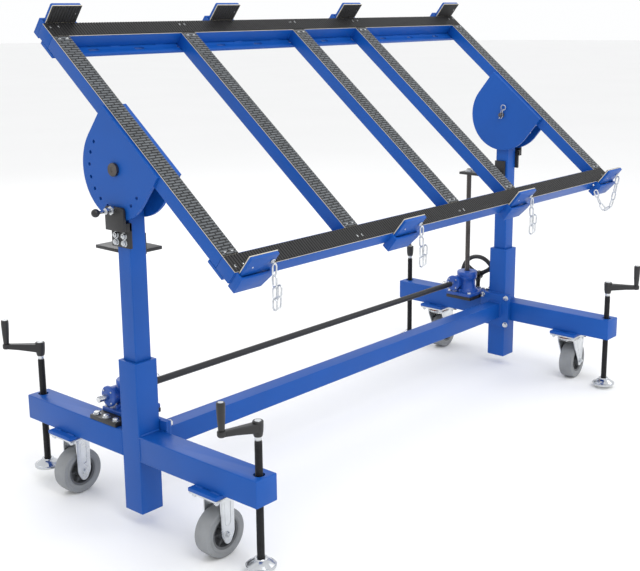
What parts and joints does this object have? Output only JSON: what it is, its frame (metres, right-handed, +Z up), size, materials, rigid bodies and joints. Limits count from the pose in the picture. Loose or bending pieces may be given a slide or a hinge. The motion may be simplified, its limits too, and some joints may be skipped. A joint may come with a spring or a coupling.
{
  "type": "tilting lift table on castors",
  "caption": "Mobile work table: open padded frame tilting between two telescopic columns, raised by shaft-linked screw jacks, on castors with levelling screws.",
  "frame": {"origin": "on the floor under the middle of the overall footprint", "axes": "+Z up, +X along the table's long side towards the swivel castors, +Y towards the raised rear edge of the tilted table"},
  "size_m": [1.9506, 1.0484, 1.3403],
  "materials": {
    "blue_paint": "royal blue powder coat, semi-gloss",
    "jack_paint": "blue enamel over a sand casting",
    "black_paint": "satin black",
    "zinc_plate": "bright zinc plate",
    "chrome_plate": "polished plate",
    "bright_steel": "machined",
    "oiled_steel": "dark, oiled",
    "bronze": "machined",
    "grey_tyre": "grey moulded rubber",
    "black_rubber": "ribbed and slotted matting",
    "black_plastic": "moulded, satin"
  },
  "bodies": {
    "base": {"leg_left": "blue_paint", "leg_right": "blue_paint", "cross_beam": "blue_paint", "rigid_fork_front": "zinc_plate", "rigid_fork_rear": "zinc_plate", "screw_jack_left": "jack_paint", "screw_jack_right": "jack_paint"},
    "drive_shaft": {"worm_shaft_left": "bright_steel", "connecting_shaft": "black_paint", "handwheel_worm_shaft": "black_paint"},
    "worm_wheel_left": {"worm_wheel_left": "bronze"},
    "worm_wheel_right": {"worm_wheel_right": "bronze"},
    "carriage": {"inner_post_left": "blue_paint", "inner_post_right": "blue_paint", "lift_plate_left": "black_paint", "lift_plate_right": "black_paint", "lift_screw_left": "oiled_steel", "lift_screw_right": "oiled_steel", "index_bracket_left": "black_paint", "index_bracket_right": "black_paint", "pivot_pin_left": "oiled_steel", "pivot_pin_right": "oiled_steel"},
    "table": {"side_frame_left": "blue_paint", "side_frame_right": "blue_paint", "front_rail": "blue_paint", "rear_rail": "blue_paint", "cross_bar_1": "blue_paint", "cross_bar_2": "blue_paint", "cross_bar_3": "blue_paint", "table_pads": "black_rubber"},
    "index_plunger_left": {"index_plunger_left": "black_plastic"},
    "index_plunger_right": {"index_plunger_right": "black_plastic"},
    "stop_front_left_outer": {"stop_front_left_outer": "blue_paint"},
    "stop_front_left_inner": {"stop_front_left_inner": "blue_paint"},
    "stop_front_right_inner": {"stop_front_right_inner": "blue_paint"},
    "stop_front_right_outer": {"stop_front_right_outer": "blue_paint"},
    "stop_rear_left_outer": {"stop_rear_left_outer": "blue_paint"},
    "stop_rear_left_inner": {"stop_rear_left_inner": "blue_paint"},
    "stop_rear_right_inner": {"stop_rear_right_inner": "blue_paint"},
    "stop_rear_right_outer": {"stop_rear_right_outer": "blue_paint"},
    "foot_left_front": {"foot_left_front": "chrome_plate"},
    "crank_left_front": {"crank_left_front": "black_paint"},
    "grip_left_front": {"grip_left_front": "black_plastic"},
    "foot_left_rear": {"foot_left_rear": "chrome_plate"},
    "crank_left_rear": {"crank_left_rear": "black_paint"},
    "grip_left_rear": {"grip_left_rear": "black_plastic"},
    "foot_right_front": {"foot_right_front": "chrome_plate"},
    "crank_right_front": {"crank_right_front": "black_paint"},
    "grip_right_front": {"grip_right_front": "black_plastic"},
    "foot_right_rear": {"foot_right_rear": "chrome_plate"},
    "crank_right_rear": {"crank_right_rear": "black_paint"},
    "grip_right_rear": {"grip_right_rear": "black_plastic"},
    "wheel_left_front": {"wheel_left_front": "grey_tyre"},
    "swivel_front": {"swivel_fork_front": "zinc_plate"},
    "wheel_right_front": {"wheel_right_front": "grey_tyre"},
    "brake_pedal_front": {"brake_pedal_front": "black_plastic"},
    "wheel_left_rear": {"wheel_left_rear": "grey_tyre"},
    "swivel_rear": {"swivel_fork_rear": "zinc_plate"},
    "wheel_right_rear": {"wheel_right_rear": "grey_tyre"},
    "brake_pedal_rear": {"brake_pedal_rear": "black_plastic"}
  },
  "joints": [
    {"name": "handwheel_turn", "type": "hinge", "parent": "base", "child": "drive_shaft", "pos_m": [0, 0.14955, 0.3108], "axis": [1, 0, 0], "range_deg": [-63010, 9010]},
    {"name": "lift", "type": "slide", "parent": "base", "child": "carriage", "axis": [0, 0, 1], "range_m": [-0.21, 0.03]},
    {"name": "worm_wheel_left_turn", "type": "hinge", "parent": "base", "child": "worm_wheel_left", "pos_m": [-0.8, 0.12355, 0.3108], "axis": [0, 0, 1], "range_deg": [-12610, 1810]},
    {"name": "worm_wheel_right_turn", "type": "hinge", "parent": "base", "child": "worm_wheel_right", "pos_m": [0.8, 0.12355, 0.3108], "axis": [0, 0, 1], "range_deg": [-12610, 1810]},
    {"name": "table_tilt", "type": "hinge", "parent": "carriage", "child": "table", "pos_m": [0, 0.00754, 0.9433], "axis": [1, 0, 0], "range_deg": [-36, 36]},
    {"name": "plunger_left", "type": "slide", "parent": "carriage", "child": "index_plunger_left", "axis": [-1, 0, 0], "range_m": [-0.01, 0], "stiffness_N_per_m": 400, "springref_m": -0.025},
    {"name": "plunger_right", "type": "slide", "parent": "carriage", "child": "index_plunger_right", "axis": [1, 0, 0], "range_m": [-0.01, 0], "stiffness_N_per_m": 400, "springref_m": -0.025},
    {"name": "stop_front_left_outer_slide", "type": "slide", "parent": "table", "child": "stop_front_left_outer", "axis": [0, -0.6246, 0.781], "range_m": [-0.052, 0]},
    {"name": "stop_front_left_inner_slide", "type": "slide", "parent": "table", "child": "stop_front_left_inner", "axis": [0, -0.6246, 0.781], "range_m": [-0.052, 0]},
    {"name": "stop_front_right_inner_slide", "type": "slide", "parent": "table", "child": "stop_front_right_inner", "axis": [0, -0.6246, 0.781], "range_m": [-0.052, 0]},
    {"name": "stop_front_right_outer_slide", "type": "slide", "parent": "table", "child": "stop_front_right_outer", "axis": [0, -0.6246, 0.781], "range_m": [-0.052, 0]},
    {"name": "stop_rear_left_outer_slide", "type": "slide", "parent": "table", "child": "stop_rear_left_outer", "axis": [0, -0.6246, 0.781], "range_m": [-0.052, 0]},
    {"name": "stop_rear_left_inner_slide", "type": "slide", "parent": "table", "child": "stop_rear_left_inner", "axis": [0, -0.6246, 0.781], "range_m": [-0.052, 0]},
    {"name": "stop_rear_right_inner_slide", "type": "slide", "parent": "table", "child": "stop_rear_right_inner", "axis": [0, -0.6246, 0.781], "range_m": [-0.052, 0]},
    {"name": "stop_rear_right_outer_slide", "type": "slide", "parent": "table", "child": "stop_rear_right_outer", "axis": [0, -0.6246, 0.781], "range_m": [-0.052, 0]},
    {"name": "leveller_left_front_travel", "type": "slide", "parent": "base", "child": "foot_left_front", "axis": [0, 0, 1], "range_m": [-0.085, 0.05]},
    {"name": "crank_left_front_turn", "type": "hinge", "parent": "foot_left_front", "child": "crank_left_front", "pos_m": [-0.863, -0.42645, 0.018], "axis": [0, 0, 1], "range_deg": [-10190, 5990]},
    {"name": "grip_left_front_turn", "type": "hinge", "parent": "crank_left_front", "child": "grip_left_front", "pos_m": [-0.95432, -0.40027, 0.3853], "axis": [0, 0, 1], "continuous": true},
    {"name": "leveller_left_rear_travel", "type": "slide", "parent": "base", "child": "foot_left_rear", "axis": [0, 0, 1], "range_m": [-0.085, 0.05]},
    {"name": "crank_left_rear_turn", "type": "hinge", "parent": "foot_left_rear", "child": "crank_left_rear", "pos_m": [-0.863, 0.44155, 0.035], "axis": [0, 0, 1], "range_deg": [-10190, 5990]},
    {"name": "grip_left_rear_turn", "type": "hinge", "parent": "crank_left_rear", "child": "grip_left_rear", "pos_m": [-0.92533, 0.51324, 0.4023], "axis": [0, 0, 1], "continuous": true},
    {"name": "leveller_right_front_travel", "type": "slide", "parent": "base", "child": "foot_right_front", "axis": [0, 0, 1], "range_m": [-0.085, 0.05]},
    {"name": "crank_right_front_turn", "type": "hinge", "parent": "foot_right_front", "child": "crank_right_front", "pos_m": [0.863, -0.42645, 0.012], "axis": [0, 0, 1], "range_deg": [-10190, 5990]},
    {"name": "grip_right_front_turn", "type": "hinge", "parent": "crank_right_front", "child": "grip_right_front", "pos_m": [0.90164, -0.51324, 0.3793], "axis": [0, 0, 1], "continuous": true},
    {"name": "leveller_right_rear_travel", "type": "slide", "parent": "base", "child": "foot_right_rear", "axis": [0, 0, 1], "range_m": [-0.085, 0.05]},
    {"name": "crank_right_rear_turn", "type": "hinge", "parent": "foot_right_rear", "child": "crank_right_rear", "pos_m": [0.863, 0.44155, 0.021], "axis": [0, 0, 1], "range_deg": [-10190, 5990]},
    {"name": "grip_right_rear_turn", "type": "hinge", "parent": "crank_right_rear", "child": "grip_right_rear", "pos_m": [0.93524, 0.50324, 0.3883], "axis": [0, 0, 1], "continuous": true},
    {"name": "wheel_left_front_roll", "type": "hinge", "parent": "base", "child": "wheel_left_front", "pos_m": [-0.863, -0.28246, 0.064], "axis": [0, 1, 0], "continuous": true},
    {"name": "swivel_front_turn", "type": "hinge", "parent": "base", "child": "swivel_front", "pos_m": [0.863, -0.28246, 0.16], "axis": [0, 0, 1], "continuous": true},
    {"name": "wheel_right_front_roll", "type": "hinge", "parent": "swivel_front", "child": "wheel_right_front", "pos_m": [0.89777, -0.27843, 0.064], "axis": [-0.1149, 0.9934, 0], "continuous": true},
    {"name": "brake_pedal_front_press", "type": "hinge", "parent": "swivel_front", "child": "brake_pedal_front", "pos_m": [0.91664, -0.27625, 0.1465], "axis": [-0.1149, 0.9934, 0], "range_deg": [0, 15]},
    {"name": "wheel_left_rear_roll", "type": "hinge", "parent": "base", "child": "wheel_left_rear", "pos_m": [-0.863, 0.29755, 0.064], "axis": [0, 1, 0], "continuous": true},
    {"name": "swivel_rear_turn", "type": "hinge", "parent": "base", "child": "swivel_rear", "pos_m": [0.863, 0.29755, 0.16], "axis": [0, 0, 1], "continuous": true},
    {"name": "wheel_right_rear_roll", "type": "hinge", "parent": "swivel_rear", "child": "wheel_right_rear", "pos_m": [0.89777, 0.30157, 0.064], "axis": [-0.1149, 0.9934, 0], "continuous": true},
    {"name": "brake_pedal_rear_press", "type": "hinge", "parent": "swivel_rear", "child": "brake_pedal_rear", "pos_m": [0.91664, 0.30375, 0.1465], "axis": [-0.1149, 0.9934, 0], "range_deg": [0, 15]}
  ],
  "couplings": [
    {"joint": "handwheel_turn", "follows": "lift", "rad_per_m": 5236},
    {"joint": "worm_wheel_left_turn", "follows": "lift", "rad_per_m": 1047.2},
    {"joint": "worm_wheel_right_turn", "follows": "lift", "rad_per_m": 1047.2},
    {"joint": "leveller_left_front_travel", "follows": "crank_left_front_turn", "m_per_rad": 0.00047746},
    {"joint": "leveller_left_rear_travel", "follows": "crank_left_rear_turn", "m_per_rad": 0.00047746},
    {"joint": "leveller_right_front_travel", "follows": "crank_right_front_turn", "m_per_rad": 0.00047746},
    {"joint": "leveller_right_rear_travel", "follows": "crank_right_rear_turn", "m_per_rad": 0.00047746}
  ]
}
